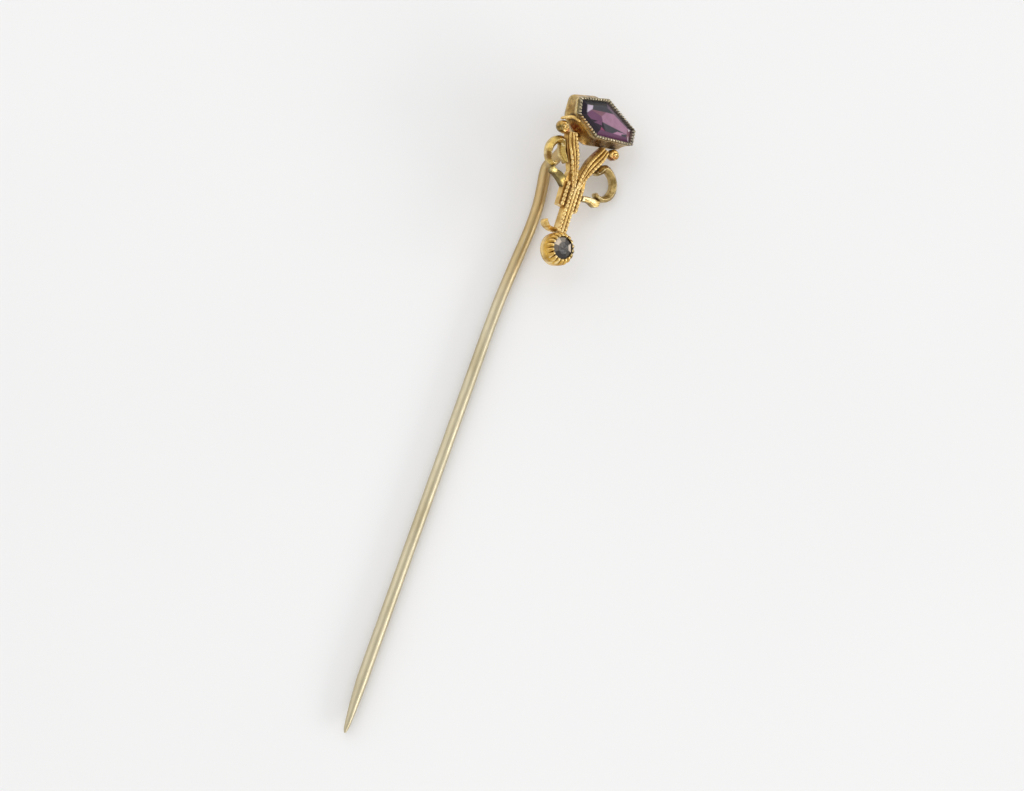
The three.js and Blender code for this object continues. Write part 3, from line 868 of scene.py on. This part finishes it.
def stem():
    length = STEM_TOP - STEM_END
    line = Path([(0, STEM_END), (0, STEM_END + length / 2), (0, STEM_TOP)])
    half = STEM_WIDTH / 2
    body = sweep(line, lambda s: rounded_box(-half, half, STRIP_BACK, STEM_FRONT, 0.07), spaced(4))
    add_piece("stem_body", loft(body), gold, "stem")
    ridge = sweep(
        line, lambda s: circle(RIDGE_RADIUS, 0, STEM_FRONT + SEAM + RIDGE_RADIUS, 14), spaced(4)
    )
    add_piece("stem_ridge", loft(ridge), gold, "stem_ridge_wire")
    offset = RIDGE_RADIUS + SEAM + STEM_BEAD_RADIUS
    wire = milled_wire(line, offset, STEM_BEAD_RADIUS, lambda s: 1.0, front=STEM_FRONT)
    add_piece("right_stem_beads", wire, gold, "right_stem_bead_wire", 60)
    add_piece("left_stem_beads", mirrored(wire), gold, "left_stem_bead_wire", 60)


def slab(outline, back, front):
    """A flat plate with a given outline."""
    return loft([[Vector((x, y, z)) for x, y in outline] for z in (back, front)])


def flanks():
    inner = STEM_WIDTH / 2 + SEAM
    outline = [(inner, FLANK_END), (FLANK_EDGE, FLANK_END), (1.14, -7.2), (1.16, -6.3)]
    outline += [beside_band(s, SEAM) for s in (0.7, 0.78, 0.85, 0.92, 1)]
    outline.append((inner, STEM_TOP))
    body = slab(outline, STRIP_BACK, STRIP_FRONT)
    line = Path([(FLANK_WIRE_X, FLANK_END + FLANK_WIRE_LENGTH * t) for t in (0, 0.5, 1)])
    wire = milled_wire(line, 0, BEAD_RADIUS, lambda s: 1.0)
    for side, turn in (("right", as_drawn), ("left", mirrored)):
        soften(add_piece(f"{side}_flank_body", turn(body), gold, f"{side}_flank"), 0.06)
        add_piece(f"{side}_flank_beads", turn(wire), gold, f"{side}_flank_bead_wire", 60)


def scroll_section(width, back, front):
    """Square at the back and ridged at the front, with the ridge blunted."""
    half = width / 2
    corner = 0.05
    shoulder = front - half
    steps = 5
    points = [(-half + corner, back), (half - corner, back), (half, back + corner), (half, shoulder)]
    for k in range(1, steps):
        t = k / steps
        points.append((half * (1 - t), shoulder + half * t**0.8))
    points += [(half * 0.1, front - 0.01), (0, front), (-half * 0.1, front - 0.01)]
    for k in range(steps - 1, 0, -1):
        t = k / steps
        points.append((-half * (1 - t), shoulder + half * t**0.8))
    points += [(-half, shoulder), (-half, back + corner)]
    return points


def scroll(name, node, points, material, turn):
    path = Path(points)

    def pinch(s):
        return min(1.0, 0.45 + s * 4) - 0.4 * max(0.0, s * 3 - 2)

    def section(s):
        end = smoothstep(s, 0.0, 0.02) * (1 - smoothstep(s, 0.97, 1.0))
        front = SCROLL_FRONT - 0.1 * (1 - end)
        return [
            (x * mix(0.7, 1, end), z)
            for x, z in scroll_section(SCROLL_WIDTH, SCROLL_BACK, front)
        ]

    rings = sweep(path, section, spaced(120), pinch)
    add_piece(name, turn(loft(rings)), material, node)


def scrolls():
    scroll("right_scroll_body", "right_scroll", [
        beside_band(0.4, 0.12), beside_band(0.4, 0.36), (2.7, -3.4), (3.25, -3.5), (3.8, -3.88),
        (4.16, -4.48), (4.2, -5.15), (3.9, -5.76), (3.36, -6.12), (2.78, -6.12), (2.5, -5.9),
    ], olive_gold, as_drawn)
    scroll("left_scroll_body", "left_scroll", [
        beside_band(0.56, 0.24), beside_band(0.44, 0.31), beside_band(0.33, 0.44), (2.62, -3.02),
        (3.04, -3.1), (3.38, -3.4), (3.62, -3.92), (3.62, -4.5), (3.42, -5.0), (3.08, -5.32),
        (2.78, -5.32), (2.6, -5.06),
    ], left_gold, mirrored)


def leaf(name, node, top, bottom, material, turn):
    def edge(points):
        path = Path(points)
        return [path.at(s)[0].to_2d() for s in spaced(14)]

    outline = [(p.x, p.y) for p in edge(top) + edge(bottom)]
    body = slab(outline, RAISED_BACK, RAISED_BACK + LEAF_DEPTH)
    soften(add_piece(name, turn(body), material, node), 0.14, 4)


def leaves():
    leaf(
        "right_leaf_body", "right_leaf",
        [(1.19, -6.72), (1.9, -6.54), (2.5, -6.46), (3.2, -6.46)],
        [(3.14, -6.98), (2.7, -7.2), (2.05, -7.08), (1.19, -7.28)],
        olive_gold,
        as_drawn,
    )
    leaf(
        "left_leaf_body", "left_leaf",
        [(1.19, -5.95), (1.8, -5.72), (2.3, -5.7), (2.8, -5.57)],
        [(2.92, -6.2), (2.42, -6.26), (1.85, -6.5), (1.19, -6.92)],
        shaded_leaf_gold,
        mirrored,
    )


def volute(name, node, x, y, radius, band_way, reach):
    """A rolled end: a short drum whose domed front carries the turns of the roll. It is drawn out by
    reach of its radius towards its band, which lies at band_way degrees."""
    sides = 40
    coil_pitch = 0.24
    side_wall = [(0.72, 0.0), (0.9, 0.04), (1.0, 0.16), (1.0, 0.43), (0.98, 0.58), (0.92, 0.67)]

    def ring(r, height_at):
        points = []
        for k in range(sides):
            a = 2 * math.pi * k / sides
            off = (math.degrees(a) - band_way + 180) % 360 - 180
            long = r * (1 + reach * math.exp(-((off / 32) ** 2)))
            height = RAISED_BACK + height_at(a)
            points.append(Vector((x + long * math.cos(a), y + long * math.sin(a), height)))
        return points

    rings = [ring(radius * share, lambda a: z) for share, z in side_wall]
    dome_steps = 12
    for k in range(1, dome_steps):
        r = radius * 0.9 * (1 - k / dome_steps)

        def height(a):
            coil = 0.05 * math.cos(2 * math.pi * r / coil_pitch - a) * smoothstep(r, 0.02, 0.12)
            return VOLUTE_DEPTH + 0.14 * (1 - (r / radius) ** 2) + coil

        rings.append(ring(r, height))
    add_piece(name, loft(rings), volute_gold, node, 60)


def tube(path, radius_at, stations, sides=16):
    """A round bar along a path in space."""
    side = Vector((1, 0.2, 0))
    rings = []
    for s in stations:
        point, along = path.at(s)
        side = (side - along * side.dot(along)).normalized()
        up = along.cross(side)
        ring = []
        for k in range(sides):
            a = 2 * math.pi * k / sides
            reach = radius_at(s, a)
            ring.append(point + side * (reach * math.cos(a)) + up * (reach * math.sin(a)))
        rings.append(ring)
    return loft(rings)


def corner_wire():
    path = Path([
        (-3.5, -1.26, -1.86), (-3.37, -1.16, -1.5), (-3.2, -1.06, -1.12), (-3.0, -1.0, -0.82),
        (-2.68, -1.04, -0.6), (-2.3, -1.17, -0.48),
    ])

    def radius_at(s, a):
        ends = math.sqrt(max(0.0, 1 - abs(2 * s - 1) ** 8))
        lumps = 1 + 0.12 * noise.noise(Vector((s * 9, math.cos(a), math.sin(a))))
        return CORNER_WIRE_RADIUS * lumps * (0.25 + 0.75 * ends)

    add_piece("corner_wire_bar", tube(path, radius_at, spaced(40)), gold, "corner_wire", 60)


def neck_curl():
    path = Path([
        (0.48, -10.77), (0.8, -10.82), (1.2, -10.82), (1.52, -10.68), (1.72, -10.46), (1.76, -10.26),
    ])

    def knob(s):
        swell = mix(0.82, 1.12, smoothstep(s, 0.45, 0.8))
        return swell * math.sqrt(max(0.05, 1 - max(0, s - 0.82) / 0.18))

    rings = sweep(
        path, lambda s: scroll_section(CURL_WIDTH, SCROLL_BACK, SCROLL_FRONT), spaced(60), knob
    )
    add_piece("neck_curl_body", mirrored(loft(rings)), gold, "neck_curl")


def collet_ring(radius, z, tooth=0.0, notch=0.0):
    """One ring of the round setting. tooth swells it outwards at each tooth, and notch cuts it back
    between them."""
    count = COLLET_TEETH * 12
    lean = CROWN_LEAN * max(0.0, z - CROWN_BACK)
    ring = []
    for k in range(count):
        a = 2 * math.pi * k / count
        swell = abs(math.sin(a * COLLET_TEETH / 2)) ** 0.8
        r = radius + tooth * (swell - 0.5)
        height = z - notch * (1 - swell)
        ring.append(Vector((r * math.cos(a), COLLET_Y + lean + r * math.sin(a), height)))
    return ring


def small_setting():
    """A drum with a floor, and a toothed crown that closes over the stone."""
    r = COLLET_RADIUS
    back = COLLET_BACK
    plate = [(0.86, 0.0), (0.92, 0.03), (0.96, 0.1), (0.97, 0.2), (0.96, COLLET_FLOOR)]
    rings = [collet_ring(r * share, back + z) for share, z in plate]
    add_piece("collet_floor", loft(rings), collet_gold, "collet_back_plate")

    floor = back + COLLET_FLOOR + SEAM
    front = CROWN_FRONT
    rings = [
        collet_ring(COLLET_BORE, floor),
        collet_ring(r * 0.965, floor),
        collet_ring(r * 0.99, CROWN_BACK - 0.3),
        collet_ring(r * 0.985, CROWN_BACK - 0.1),
        collet_ring(r * 0.955, CROWN_BACK - 0.02, 0.03),
        collet_ring(r * 0.96, CROWN_BACK + 0.08, 0.1),
        collet_ring(r * 0.93, CROWN_BACK + 0.24, 0.12, 0.02),
        collet_ring(r * 0.86, front - 0.18, 0.12, 0.08),
        collet_ring(r * 0.78, front - 0.05, 0.09, 0.14),
        collet_ring(r * 0.73, front, 0.03, 0.17),
        collet_ring(r * 0.69, front - 0.03, -0.02, 0.14),
        collet_ring(r * 0.69, front - 0.1, -0.02, 0.06),
        collet_ring(COLLET_BORE - 0.05, front - 0.24),
        collet_ring(COLLET_BORE, front - 0.4),
    ]
    add_piece("collet_crown", loft(rings, closed=True), collet_gold, "collet_cup", 60)


def small_stone_colour(p):
    """A grey for each of the eight facets round the table, and for each eighth of the table. The pale rim
    facets are painted reflections.
    """
    x, y = p.x, p.y - COLLET_Y - SMALL_STONE_LEAN
    r = math.hypot(x, y)
    facet = math.floor((math.degrees(math.atan2(y, x)) % 360) / 45)
    rim_tones = [206, 62, 140, 214, 112, 52, 44, 66]
    table_tones = [70, 46, 70, 92, 66, 46, 38, 52]
    tone = mix(table_tones[facet], rim_tones[facet], smoothstep(r, 0.52, 0.6))
    return rgb(tone, tone * 0.93, tone * 0.84)


def small_stone():
    count = 96
    step = 2 * math.pi / 8
    middle = COLLET_Y + CROWN_LEAN * (CROWN_FRONT - CROWN_BACK) / 2

    def ring(share, z):
        points = []
        for k in range(count):
            a = 2 * math.pi * k / count
            flat = math.cos(step / 2) / math.cos((a % step) - step / 2)
            r = SMALL_STONE_RADIUS * share * flat
            points.append(Vector((r * math.cos(a), middle + r * math.sin(a), CROWN_FRONT + z)))
        return points

    girdle_front, table_front = -0.16, 0.02
    rings = [ring(0.04, -0.78), ring(1, -0.24), ring(1, girdle_front)]
    for k in range(1, 7):
        share = mix(1, SMALL_TABLE_SHARE, k / 6)
        rings.append(ring(share, mix(girdle_front, table_front, k / 6)))
    for k in range(1, 10):
        rings.append(ring(SMALL_TABLE_SHARE * (1 - k / 10), table_front))
    piece = add_piece("round_stone", loft(rings), clear, "small_stone", 8)
    paint(piece, small_stone_colour)


def shank():
    start = -SETTING_DEPTH - SEAM
    path = Path([
        (-1.0, -1.3, start - 0.02), (-1.0, -1.33, -2.7), (-0.98, -1.72, -3.2), (-0.93, -2.5, -3.62),
        (-0.86, -3.2, -4.08), (-0.8, -3.7, -4.66), (-0.77, -4.08, -5.22), (-0.78, -4.5, -5.6),
        (-0.76, -5.2, -5.66), (-0.66, -6.4, -5.54), (-0.55, -8.2, -5.42), (-0.58, -10.4, -5.44),
        (-0.84, -13.9, -5.6), (-1.13, -18.2, -5.78), (-1.42, -27, -5.88), (-1.7, -37, -6.0),
        (-2.02, -48, -6.12), (-2.2, -54.5, -6.16), (-2.28, -58.9, -6.06),
    ])
    tip = path.at(1)[0]

    def radius_at(s, a):
        y = path.at(s)[0].y
        t = min(max((TAPER_START - y) / (TAPER_START - tip.y), 0.0), 1.0)
        wobble = 0.008 * (noise.noise(Vector((math.cos(a), math.sin(a), s * 60))) - 0.6)
        return (SHANK_RADIUS + wobble) * mix(POINT_SHARE, 1, math.sqrt(1 - t))

    stations = [s * BEND_SHARE for s in spaced(60)[:-1]]
    stations += [mix(BEND_SHARE, 1, s) for s in spaced(160)]
    add_piece("wire", tube(path, radius_at, stations, sides=28), brass, "pin_shank", 60)


large_setting()
collar()
large_stone()
bands()
stem()
flanks()
scrolls()
leaves()
volute("right_roll", "right_volute", x=3.02, y=-1.92, radius=0.5, band_way=204, reach=0.36)
volute("left_roll", "left_volute", x=-3.1, y=-1.86, radius=0.54, band_way=334, reach=0.46)
corner_wire()
neck_curl()
small_setting()
small_stone()
shank()


# ---------------------------------------------------------------- stage, light and camera


def floor():
    size = 1.5
    mesh = bpy.data.meshes.new("floor")
    corners = [(-size, -size, 0), (size, -size, 0), (size, size, 0), (-size, size, 0)]
    mesh.from_pydata(corners, [], [(0, 1, 2, 3)])
    plane = bpy.data.objects.new("floor", mesh)
    bpy.context.scene.collection.objects.link(plane)
    n = Nodes("floor")
    tone = n.ramp(n.noise(60, 2.0), 0.3, 0.7)
    colour = n.blend(tone, (0.855, 0.855, 0.86, 1), (0.87, 0.87, 0.875, 1))
    mesh.materials.append(n.finish(Base_Color=colour, Roughness=0.9))


def area_light(name, place, width, height, power, colour=(1, 1, 1)):
    """A soft box that faces the middle of the object."""
    light = bpy.data.lights.new(name, "AREA")
    light.shape = "RECTANGLE"
    light.size = width
    light.size_y = height
    light.energy = power
    light.color = colour
    lamp = bpy.data.objects.new(name, light)
    lamp.location = place
    lamp.rotation_mode = "QUATERNION"
    lamp.rotation_quaternion = (-Vector(place)).to_track_quat("-Z", "Y")
    bpy.context.scene.collection.objects.link(lamp)


def lights():
    """A pale room, a little darker overhead than round the sides, with a large soft box on the left and
    a low one on the right."""
    world = bpy.data.worlds.new("studio")
    bpy.context.scene.world = world
    world.use_nodes = True
    nodes = world.node_tree.nodes
    links = world.node_tree.links
    background = nodes["Background"]
    direction = nodes.new("ShaderNodeTexCoord")
    axes = nodes.new("ShaderNodeSeparateXYZ")
    links.new(direction.outputs["Generated"], axes.inputs[0])
    overhead = nodes.new("ShaderNodeMapRange")
    overhead.interpolation_type = "SMOOTHSTEP"
    overhead.inputs["From Min"].default_value = 0.35
    overhead.inputs["From Max"].default_value = 0.95
    overhead.inputs["To Min"].default_value = 1.0
    overhead.inputs["To Max"].default_value = 0.7
    links.new(axes.outputs["Z"], overhead.inputs["Value"])
    links.new(overhead.outputs["Result"], background.inputs["Strength"])
    background.inputs["Color"].default_value = (1.0, 0.995, 0.985, 1)
    area_light("key", (-0.42, 0.32, 0.55), 0.9, 0.9, 1.5)
    area_light("side", (0.55, -0.05, 0.16), 0.5, 0.12, 1.1)


def camera():
    azimuth = math.radians(CAMERA_AZIMUTH)
    elevation = math.radians(CAMERA_ELEVATION)
    back = Vector((
        math.sin(azimuth) * math.cos(elevation),
        -math.cos(azimuth) * math.cos(elevation),
        math.sin(elevation),
    ))
    data = bpy.data.cameras.new("camera")
    data.lens = CAMERA_LENS
    data.clip_start = 0.01
    data.clip_end = 10
    item = bpy.data.objects.new("camera", data)
    item.location = Vector(CAMERA_AIM) + back * CAMERA_DISTANCE
    item.rotation_mode = "QUATERNION"
    turn = (-back).to_track_quat("-Z", "Y")
    item.rotation_quaternion = turn @ Matrix.Rotation(math.radians(CAMERA_ROLL), 3, "Z").to_quaternion()
    bpy.context.scene.collection.objects.link(item)
    bpy.context.scene.camera = item


floor()
lights()
camera()
bpy.context.scene.view_settings.view_transform = "Standard"
